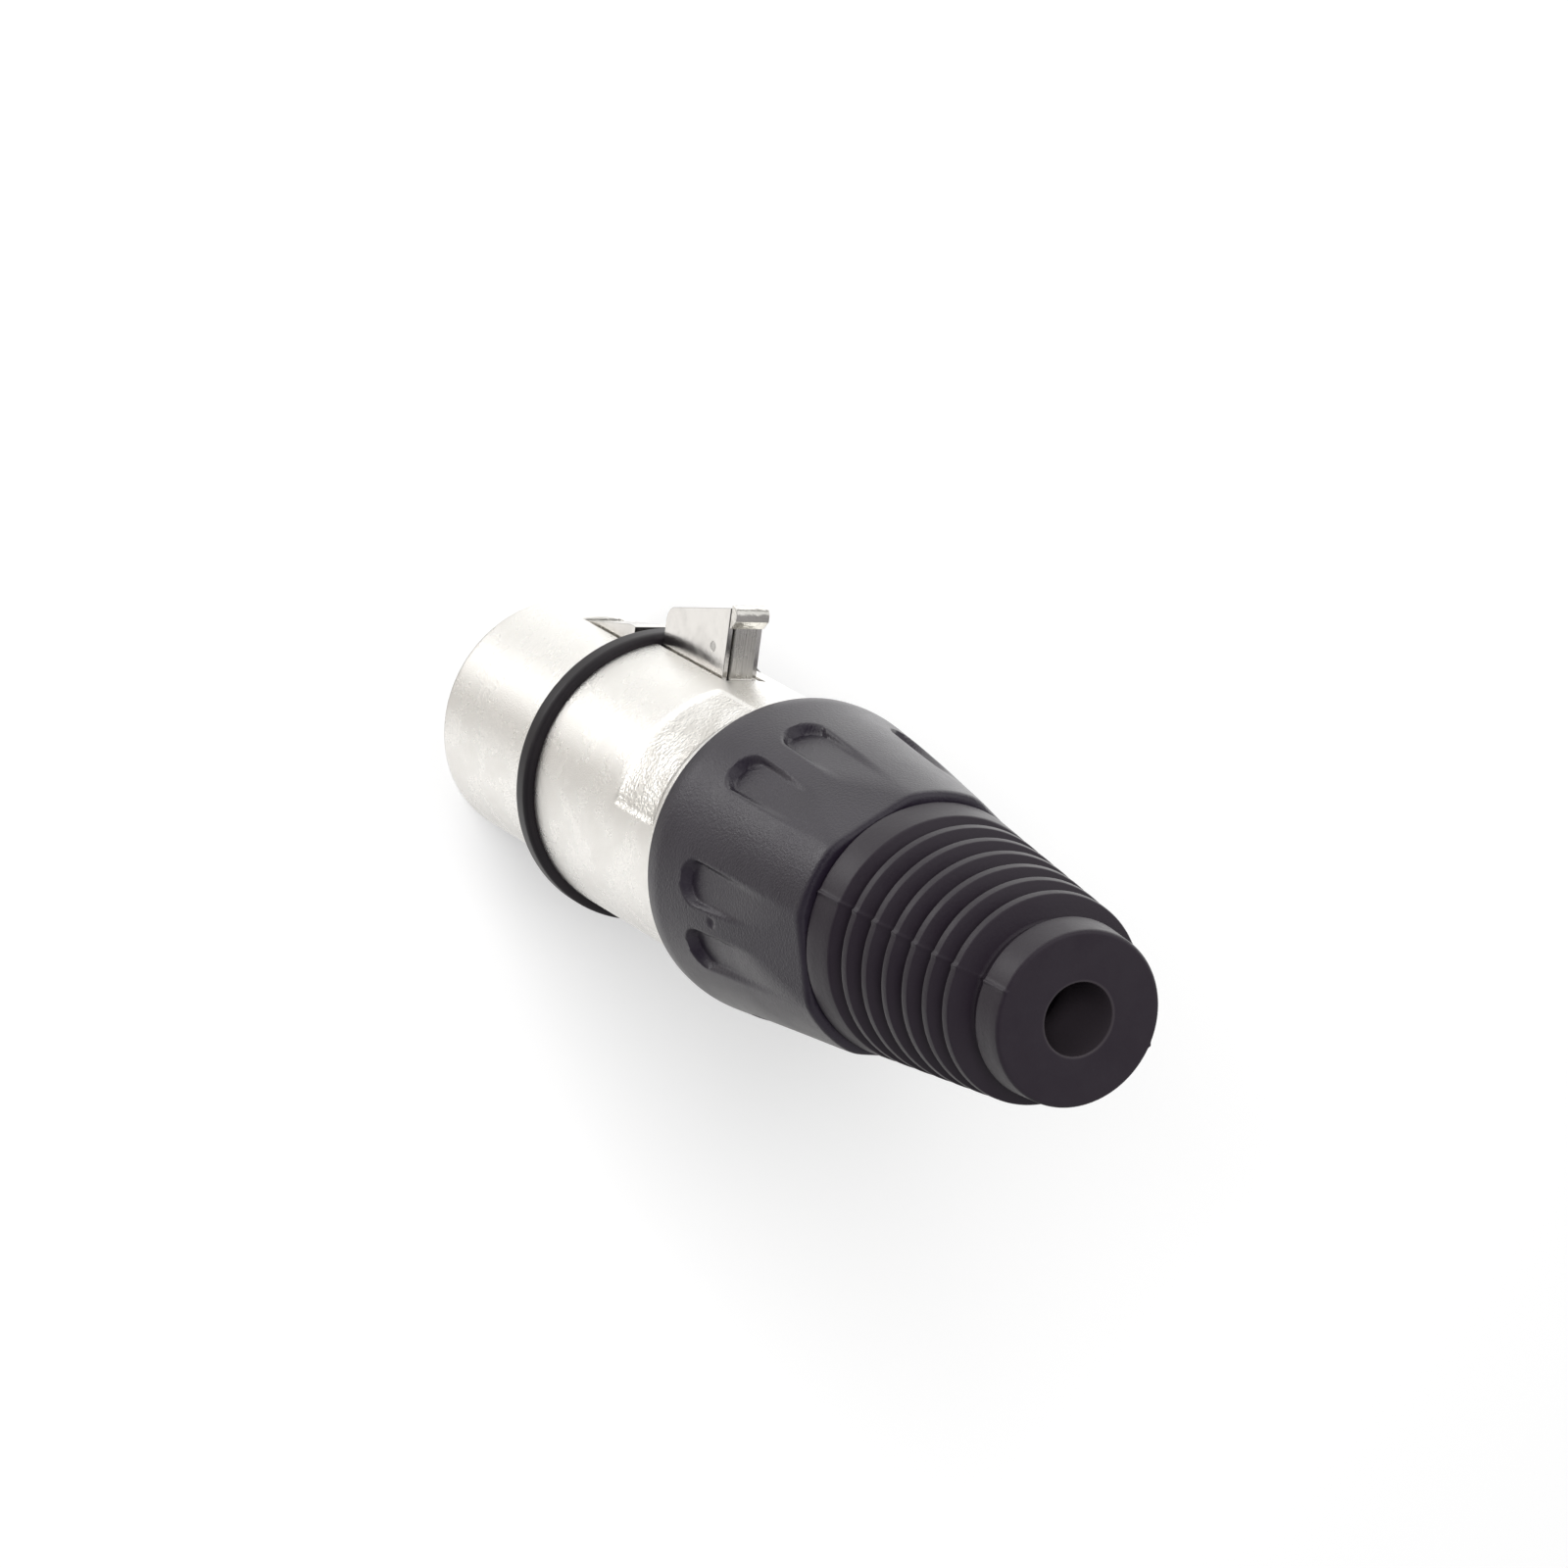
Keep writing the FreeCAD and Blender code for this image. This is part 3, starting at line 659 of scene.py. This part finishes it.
def grain_group():
    """Fine grain of a moulded or cast surface, as a height."""
    group, inputs, outputs = new_group("surface_grain", [("Scale", 3000.0), ("Detail", 2.0)],
                                       ["Height"])
    place = group.nodes.new("ShaderNodeTexCoord")
    noise = group.nodes.new("ShaderNodeTexNoise")
    noise.inputs["Roughness"].default_value = 0.6
    group.links.new(place.outputs["Object"], noise.inputs["Vector"])
    group.links.new(inputs.outputs["Scale"], noise.inputs["Scale"])
    group.links.new(inputs.outputs["Detail"], noise.inputs["Detail"])
    group.links.new(noise.outputs["Fac"], outputs.inputs["Height"])
    return group


def mottle_group():
    """Slow uneven patches over a surface, as a mask from 0 to 1."""
    group, inputs, outputs = new_group(
        "surface_mottle", [("Scale", 300.0), ("From", 0.35), ("To", 0.65)], ["Mask"])
    place = group.nodes.new("ShaderNodeTexCoord")
    noise = group.nodes.new("ShaderNodeTexNoise")
    noise.inputs["Detail"].default_value = 5.0
    noise.inputs["Roughness"].default_value = 0.65
    spread = group.nodes.new("ShaderNodeMapRange")
    spread.interpolation_type = "SMOOTHSTEP"
    group.links.new(place.outputs["Object"], noise.inputs["Vector"])
    group.links.new(inputs.outputs["Scale"], noise.inputs["Scale"])
    group.links.new(noise.outputs["Fac"], spread.inputs["Value"])
    group.links.new(inputs.outputs["From"], spread.inputs["From Min"])
    group.links.new(inputs.outputs["To"], spread.inputs["From Max"])
    group.links.new(spread.outputs["Result"], outputs.inputs["Mask"])
    return group


def speck_group():
    """Few small specks of dust, as a mask from 0 to 1."""
    group, inputs, outputs = new_group("dust_specks", [("Scale", 500.0), ("Size", 0.08)], ["Mask"])
    place = group.nodes.new("ShaderNodeTexCoord")
    cells = group.nodes.new("ShaderNodeTexVoronoi")
    near = group.nodes.new("ShaderNodeMath")
    near.operation = "LESS_THAN"
    chosen = group.nodes.new("ShaderNodeSeparateColor")
    few = group.nodes.new("ShaderNodeMath")
    few.operation = "LESS_THAN"
    few.inputs[1].default_value = 0.05
    both = group.nodes.new("ShaderNodeMath")
    both.operation = "MULTIPLY"
    group.links.new(place.outputs["Object"], cells.inputs["Vector"])
    group.links.new(inputs.outputs["Scale"], cells.inputs["Scale"])
    group.links.new(cells.outputs["Distance"], near.inputs[0])
    group.links.new(inputs.outputs["Size"], near.inputs[1])
    group.links.new(cells.outputs["Color"], chosen.inputs["Color"])
    group.links.new(chosen.outputs["Red"], few.inputs[0])
    group.links.new(near.outputs[0], both.inputs[0])
    group.links.new(few.outputs[0], both.inputs[1])
    group.links.new(both.outputs[0], outputs.inputs["Mask"])
    return group


def brush_group():
    """Fine straight lines that brushing leaves along the latch's height, as a height."""
    group, inputs, outputs = new_group("brushed_lines", [("Scale", 6000.0)], ["Height"])
    place = group.nodes.new("ShaderNodeTexCoord")
    drawn = group.nodes.new("ShaderNodeVectorMath")
    drawn.operation = "MULTIPLY"
    drawn.inputs[1].default_value = (0.03, 1.0, 0.4)
    noise = group.nodes.new("ShaderNodeTexNoise")
    noise.inputs["Detail"].default_value = 1.0
    group.links.new(place.outputs["Object"], drawn.inputs[0])
    group.links.new(drawn.outputs["Vector"], noise.inputs["Vector"])
    group.links.new(inputs.outputs["Scale"], noise.inputs["Scale"])
    group.links.new(noise.outputs["Fac"], outputs.inputs["Height"])
    return group


grain = grain_group()
brushed = brush_group()
mottle = mottle_group()
specks = speck_group()


def place_group(tree, group, **values):
    """A shared group placed in a node tree with its own values."""
    node = tree.nodes.new("ShaderNodeGroup")
    node.node_tree = group
    for label, value in values.items():
        node.inputs[label].default_value = value
    return node


def fill(tree, socket, value):
    """Give a socket a colour, a number or a link."""
    if isinstance(value, bpy.types.NodeSocket):
        tree.links.new(value, socket)
    elif isinstance(value, tuple):
        socket.default_value = (*value, 1.0)
    else:
        socket.default_value = value


def blend_colours(tree, mask, first, second, blend="MIX"):
    """A colour that goes from first to second with a mask."""
    mix = tree.nodes.new("ShaderNodeMix")
    mix.data_type = "RGBA"
    mix.blend_type = blend
    fill(tree, mix.inputs["Factor"], mask)
    fill(tree, mix.inputs["A"], first)
    fill(tree, mix.inputs["B"], second)
    return mix.outputs["Result"]


def blend_values(tree, mask, first, second):
    """A value that goes from first to second with a mask."""
    spread = tree.nodes.new("ShaderNodeMapRange")
    spread.inputs["To Min"].default_value = first
    spread.inputs["To Max"].default_value = second
    tree.links.new(mask, spread.inputs["Value"])
    return spread.outputs["Result"]


def step_mask(tree, value, low, high, top=1.0):
    """A mask that rises smoothly from 0 at low to its top at high."""
    spread = tree.nodes.new("ShaderNodeMapRange")
    spread.interpolation_type = "SMOOTHSTEP"
    spread.inputs["From Min"].default_value = low
    spread.inputs["From Max"].default_value = high
    spread.inputs["To Max"].default_value = top
    tree.links.new(value, spread.inputs["Value"])
    return spread.outputs["Result"]


def to_share(tree, value):
    """A value from -1 to 1 as a share from 0 to 1."""
    spread = tree.nodes.new("ShaderNodeMapRange")
    spread.inputs["From Min"].default_value = -1.0
    tree.links.new(value, spread.inputs["Value"])
    return spread.outputs["Result"]


def grey(level):
    """A colour without hue."""
    return (level, level, level)


def along(tree, coordinates, direction):
    """How far a position lies along a direction."""
    dot = tree.nodes.new("ShaderNodeVectorMath")
    dot.operation = "DOT_PRODUCT"
    dot.inputs[1].default_value = direction
    tree.links.new(coordinates, dot.inputs[0])
    return dot.outputs["Value"]


def length(tree, coordinates):
    """How far a position lies from the origin."""
    measure = tree.nodes.new("ShaderNodeVectorMath")
    measure.operation = "LENGTH"
    tree.links.new(coordinates, measure.inputs[0])
    return measure.outputs["Value"]


def raise_surface(tree, height, distance, below=None):
    """A full-strength bump, on top of another one where one is given."""
    bump = tree.nodes.new("ShaderNodeBump")
    bump.inputs["Strength"].default_value = 1.0
    bump.inputs["Distance"].default_value = distance * MM
    tree.links.new(height, bump.inputs["Height"])
    if below is not None:
        tree.links.new(below, bump.inputs["Normal"])
    return bump.outputs["Normal"]


def new_material(name, metallic, shine=0.5):
    """A material with an empty surface shader, its node tree and that shader."""
    material = bpy.data.materials.new(name)
    material.use_nodes = True
    shader = material.node_tree.nodes["Principled BSDF"]
    shader.inputs["Metallic"].default_value = metallic
    shader.inputs["Specular IOR Level"].default_value = shine
    return material, material.node_tree, shader


def finish_metal(name, colour, stain, rough, grain_scale, grain_height, flatten=None, brush=None):
    """Plated metal: fine grain, uneven patches and a spread of roughness.

    Flatten is the azimuth towards which a curved face is shaded flatter, and brush is
    (scale, height).
    """
    material, tree, shader = new_material(name, 1.0)
    patches = place_group(tree, mottle, Scale=350.0, From=0.38, To=0.66).outputs["Mask"]
    fill(tree, shader.inputs["Base Color"], blend_colours(tree, patches, colour, stain))
    fill(tree, shader.inputs["Roughness"], blend_values(tree, patches, *rough))
    below = None
    if flatten is not None:
        place = tree.nodes.new("ShaderNodeTexCoord").outputs["Object"]
        direction = Vector((math.cos(flatten), math.sin(flatten), 0.0)) / -MM
        below = raise_surface(tree, along(tree, place, direction), field_flattening)
    if brush is not None:
        lines = place_group(tree, brushed, Scale=brush[0]).outputs["Height"]
        below = raise_surface(tree, lines, brush[1])
    fine = place_group(tree, grain, Scale=grain_scale, Detail=2.0).outputs["Height"]
    fill(tree, shader.inputs["Normal"], raise_surface(tree, fine, grain_height, below))
    return material


def finish_plastic(name, colour, pale, rough, grain_scale, grain_height, shine=0.5, dust=None,
                   bore=None):
    """Moulded plastic or rubber: fine grain, uneven patches, specks of dust, and painted light in
    the bore.

    Dust is (cell scale, speck size), and bore is the radius inside which a paler colour is painted
    as light in the shaded hole.
    """
    material, tree, shader = new_material(name, 0.0, shine)
    patches = place_group(tree, mottle, Scale=250.0, From=0.35, To=0.7).outputs["Mask"]
    base = blend_colours(tree, patches, colour, pale)
    if dust is not None:
        spots = place_group(tree, specks, Scale=dust[0], Size=dust[1]).outputs["Mask"]
        base = blend_colours(tree, spots, base, dust_colour)
    # Painted light: inside the bore radius the colour turns paler, to lift the shade in the cable
    # hole
    if bore is not None:
        place = tree.nodes.new("ShaderNodeTexCoord").outputs["Object"]
        across = tree.nodes.new("ShaderNodeVectorMath")
        across.operation = "MULTIPLY"
        across.inputs[1].default_value = (1.0, 1.0, 0.0)
        tree.links.new(place, across.inputs[0])
        radius = length(tree, across.outputs["Vector"])
        outward = step_mask(tree, radius, bore * MM, (bore + bore_blend) * MM)
        base = blend_colours(tree, outward, painted_bore_light, base)
    fill(tree, shader.inputs["Base Color"], base)
    fill(tree, shader.inputs["Roughness"], blend_values(tree, patches, *rough))
    fine = place_group(tree, grain, Scale=grain_scale, Detail=2.0).outputs["Height"]
    fill(tree, shader.inputs["Normal"], raise_surface(tree, fine, grain_height))
    return material


nickel = finish_metal("nickel_plating", (0.92, 0.905, 0.87), (0.885, 0.868, 0.83), (0.26, 0.31),
                      11000.0, 0.026)
grained_nickel = finish_metal("grained_nickel", (0.88, 0.865, 0.83), (0.70, 0.68, 0.64),
                              (0.22, 0.30), 4200.0, 0.06,
                              flatten=math.radians((field_start_angle + field_end_angle) / 2))
latch_nickel = finish_metal("latch_plating", (0.72, 0.705, 0.68), (0.67, 0.655, 0.63),
                            (0.13, 0.20), 2600.0, 0.004, brush=(2500.0, 0.004))
button_nickel = finish_metal("button_plating", (0.74, 0.725, 0.69), (0.64, 0.62, 0.58),
                             (0.24, 0.34), 2600.0, 0.006, brush=(9000.0, 0.05))
# Darker copy of the button's plating for the lip: painted shade for the dark band on its rear
# face, while its lower roughness is its own finish
shaded_lip_nickel = finish_metal("lip_plating_painted_shade", (0.66, 0.645, 0.61), (0.57, 0.555, 0.52),
                          (0.14, 0.24), 1800.0, 0.06)
steel = finish_metal("spring_wire", (0.62, 0.61, 0.59), (0.55, 0.54, 0.52), (0.25, 0.35),
                     4000.0, 0.003)
contact_plating = finish_metal("contact_plating", (0.83, 0.70, 0.42), (0.76, 0.62, 0.36),
                               (0.18, 0.28), 4000.0, 0.003)
ring_plastic = finish_plastic("ring_plastic", (0.012, 0.010, 0.012), (0.017, 0.014, 0.016),
                              (0.36, 0.44), 3000.0, 0.003, shine=0.3)
collar_plastic = finish_plastic("collar_plastic", (0.0145, 0.0105, 0.0185),
                                (0.0215, 0.017, 0.026), (0.30, 0.37), 6000.0, 0.03)
# The boot's bore gets a paler colour: painted light in the cable hole
boot_rubber = finish_plastic("boot_rubber", (0.0165, 0.0115, 0.018), (0.0205, 0.0155, 0.022),
                             (0.38, 0.48), 3800.0, 0.012, shine=0.35, dust=(260.0, 0.035),
                             bore=2.35)
insulator = finish_plastic("insulator_plastic", (0.02, 0.02, 0.022), (0.026, 0.026, 0.028),
                           (0.45, 0.55), 3000.0, 0.006)
clamp_plastic = finish_plastic("clamp_plastic", (0.50, 0.50, 0.48), (0.56, 0.56, 0.54),
                               (0.45, 0.55), 2500.0, 0.006)

cast_shell(nickel, grained_nickel)
turn_marking_ring(ring_plastic)
mould_collar(collar_plastic)
mould_boot(boot_rubber)
wind_spring(steel)
soften("latch_lever", "lever_pressing", latch_nickel, "latch", 0.15)
shape_button(button_nickel, shaded_lip_nickel)
soften("button_pin", "button_rivet", steel, "latch", 0.03)
soften("latch_pin", "pivot_pin", steel, "connector_body", 0.05)
soften("earthing_clip", "earthing_strip", steel, "connector_body", 0.03)
soften("contact_insert", "insert_moulding", insulator, "connector_body", 0.08)
soften("cable_clamp", "clamp_sleeve", clamp_plastic, "connector_body", 0.08)
for number in (1, 2, 3):
    soften("contact_" + str(number), "socket_" + str(number), contact_plating, "connector_body",
           0.04)


def build_floor():
    """Plain floor that keeps the object's soft shadow and turns plain white further out.

    The camera sees it shaded and slightly lifted, and other rays see a plain white one.
    """
    half_size, shaded_reach, plain_reach = 4.0, 0.1, 0.4
    material = bpy.data.materials.new("studio_floor")
    material.use_nodes = True
    tree = material.node_tree
    nodes, links = tree.nodes, tree.links
    nodes.clear()
    white = nodes.new("ShaderNodeBsdfDiffuse")
    fill(tree, white.inputs["Color"], grey(0.9))
    shaded = nodes.new("ShaderNodeBsdfDiffuse")
    fill(tree, shaded.inputs["Color"], grey(0.86))
    glow = nodes.new("ShaderNodeEmission")
    glow.inputs["Strength"].default_value = 0.19
    both = nodes.new("ShaderNodeAddShader")
    plain = nodes.new("ShaderNodeEmission")
    seen = nodes.new("ShaderNodeMixShader")
    place = nodes.new("ShaderNodeTexCoord").outputs["Object"]
    path = nodes.new("ShaderNodeLightPath")
    choose = nodes.new("ShaderNodeMixShader")
    out = nodes.new("ShaderNodeOutputMaterial")
    links.new(shaded.outputs[0], both.inputs[0])
    links.new(glow.outputs[0], both.inputs[1])
    links.new(step_mask(tree, length(tree, place), shaded_reach, plain_reach), seen.inputs[0])
    links.new(both.outputs[0], seen.inputs[1])
    links.new(plain.outputs[0], seen.inputs[2])
    links.new(path.outputs["Is Camera Ray"], choose.inputs[0])
    links.new(white.outputs[0], choose.inputs[1])
    links.new(seen.outputs[0], choose.inputs[2])
    links.new(choose.outputs[0], out.inputs["Surface"])
    mesh = bpy.data.meshes.new("floor")
    corners = [(x * half_size, y * half_size, 0) for x, y in ((-1, -1), (1, -1), (1, 1), (-1, 1))]
    mesh.from_pydata(corners, [], [(0, 1, 2, 3)])
    mesh.materials.append(material)
    floor = bpy.data.objects.new("floor", mesh)
    bpy.context.scene.collection.objects.link(floor)
    floor.visible_glossy = False


def colour_ramp(tree, value, stops):
    """A smooth run of colours over a value, with stops of (place, colour).

    A ramp holds no colour brighter than 1, so the stops are scaled down and the result back up.
    """
    brightest = max(max(colour) for position, colour in stops)
    ramp = tree.nodes.new("ShaderNodeValToRGB")
    ramp.color_ramp.interpolation = "B_SPLINE"
    while len(ramp.color_ramp.elements) < len(stops):
        ramp.color_ramp.elements.new(0.5)
    for element, (position, colour) in zip(ramp.color_ramp.elements, stops):
        element.position = position
        element.color = (*(part / brightest for part in colour), 1.0)
    tree.links.new(value, ramp.inputs["Fac"])
    return blend_colours(tree, 1.0, ramp.outputs["Color"], grey(brightest), "MULTIPLY")


def build_world():
    """White studio: plain white for the camera, a soft horizon and window for reflections.

    The latch side is up in the picture, so heights in the studio are measured along +X.
    """
    overhead_direction = Vector((0.9, -0.44, 0.0))
    window_direction = Vector((0.435, 0.585, -0.685)).normalized()
    window_edge, window_core, window_strength = math.radians(12), math.radians(3), 3.3
    world = bpy.data.worlds.new("studio")
    bpy.context.scene.world = world
    world.use_nodes = True
    tree = world.node_tree
    place = tree.nodes.new("ShaderNodeTexCoord").outputs["Generated"]
    x = along(tree, place, (1.0, 0.0, 0.0))
    y = along(tree, place, (0.0, 1.0, 0.0))
    z = along(tree, place, (0.0, 0.0, 1.0))

    height = to_share(tree, x)
    horizon = colour_ramp(tree, height, [
        (0.0, (1.27, 1.26, 1.25)), (0.36, (1.4, 1.39, 1.38)), (0.45, (0.86, 0.83, 0.8)),
        (0.55, (0.74, 0.71, 0.68)), (0.63, (0.74, 0.73, 0.72)), (0.7, (0.83, 0.82, 0.81)),
        (0.78, (1.1, 1.09, 1.08)), (1.0, (1.14, 1.14, 1.13)),
    ])
    plain = colour_ramp(tree, height, [
        (0.2, (0.82, 0.81, 0.8)), (0.45, (0.84, 0.83, 0.82)), (0.56, grey(1.75)),
        (0.64, grey(1.05)), (0.72, (0.98, 0.98, 0.97)), (0.8, (1.08, 1.08, 1.07)),
    ])
    side = step_mask(tree, y, -0.3, 0.3)
    behind = blend_colours(tree, side, plain, horizon)

    # Cones reflect a belt further out than cylinders do, with its own brightness
    upper = step_mask(tree, x, -0.1, 0.25)
    upper_share = blend_colours(tree, side, grey(1.8), grey(1.22))
    share = blend_colours(tree, upper, grey(0.35), upper_share)
    outer = step_mask(tree, z, -0.83, -0.68)
    belt = blend_colours(tree, 1.0, behind, share, "MULTIPLY")
    behind = blend_colours(tree, outer, behind, belt)

    # Faces that look to the cable end reflect a darker part, and the lip a dark strip overhead
    front = step_mask(tree, z, -0.2, 0.4)
    beside = step_mask(tree, y, 0.2, 0.6)
    ahead = blend_colours(tree, beside, (0.43, 0.42, 0.43), (0.15, 0.15, 0.155))
    overhead = colour_ramp(tree, to_share(tree, z), [
        (0.54, grey(1.35)), (0.61, grey(0.05)), (0.65, grey(0.05)), (0.73, grey(1.2)),
    ])
    above = step_mask(tree, along(tree, place, overhead_direction), 0.2, 0.6)
    ahead = blend_colours(tree, above, ahead, overhead)
    room = blend_colours(tree, front, behind, ahead)

    below = step_mask(tree, along(tree, place, (0.0, 0.0, -1.0)), 0.91, 0.985)
    room = blend_colours(tree, below, room, grey(0.3))
    lit = step_mask(tree, along(tree, place, window_direction), math.cos(window_edge),
                    math.cos(window_core), window_strength)
    room = blend_colours(tree, 1.0, room, lit, "ADD")

    # Matt surfaces are lit evenly, and the camera sees plain white
    path = tree.nodes.new("ShaderNodeLightPath")
    seen = tree.nodes.new("ShaderNodeMath")
    seen.operation = "MAXIMUM"
    tree.links.new(path.outputs["Is Glossy Ray"], seen.inputs[0])
    tree.links.new(path.outputs["Is Transmission Ray"], seen.inputs[1])
    room = blend_colours(tree, seen.outputs[0], grey(0.5), room)
    room = blend_colours(tree, path.outputs["Is Camera Ray"], room, grey(1.0))
    tree.links.new(room, tree.nodes["Background"].inputs["Color"])


def add_lamp(name, place, size, power):
    """A square soft lamp that faces the middle of the connector."""
    middle = Vector((0.0, 0.0, 0.035))
    data = bpy.data.lights.new(name, "AREA")
    data.shape = "SQUARE"
    data.size = size
    data.energy = power
    lamp = bpy.data.objects.new(name, data)
    bpy.context.scene.collection.objects.link(lamp)
    lamp.location = place
    lamp.rotation_euler = (middle - lamp.location).to_track_quat("-Z", "Y").to_euler()
    lamp.visible_glossy = False


def place_camera():
    """Camera at the photograph's viewing angle, behind the cable end and to the side."""
    position = Vector((0.14384, 0.29326, 0.54496))
    right = Vector((0.1267, -0.8760, 0.4654))
    up = Vector((0.9649, 0.0, -0.2627))
    back = right.cross(up).normalized()
    right = up.cross(back).normalized()
    data = bpy.data.cameras.new("camera")
    data.sensor_width = 36.0
    data.lens = 225.0
    data.clip_start = 0.01
    camera = bpy.data.objects.new("camera", data)
    bpy.context.scene.collection.objects.link(camera)
    turn = Matrix((right, up, back)).transposed().to_4x4()
    camera.matrix_world = Matrix.Translation(position) @ turn
    bpy.context.scene.camera = camera


build_floor()
build_world()
add_lamp("overhead_lamp", (0.24, 0.285, 0.65), 0.3, 3.6)
place_camera()
bpy.context.scene.view_settings.view_transform = "Standard"
